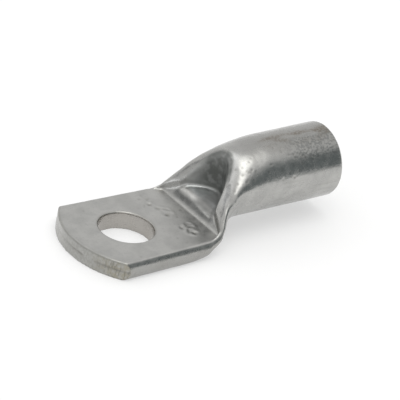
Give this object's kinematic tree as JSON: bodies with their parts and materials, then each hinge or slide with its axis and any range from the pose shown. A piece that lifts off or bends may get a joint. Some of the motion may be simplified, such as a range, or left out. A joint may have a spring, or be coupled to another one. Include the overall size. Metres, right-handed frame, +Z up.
{
  "type": "tubular cable lug",
  "caption": "Tin-plated copper tube lug: a flat drilled palm for a bolted joint, and a round open barrel that is crimped onto a cable's conductor.",
  "frame": {"origin": "centre of the bolt hole on the palm's underside", "axes": "+X from the palm to the open end of the barrel, +Z up through the bolt hole from the palm's underside"},
  "size_m": [0.0553, 0.0224, 0.0163],
  "materials": {
    "tinned_copper": "electro-tinned copper, soft satin grey with handling marks"
  },
  "bodies": {
    "root": {"cable_lug": "tinned_copper"}
  },
  "joints": []
}
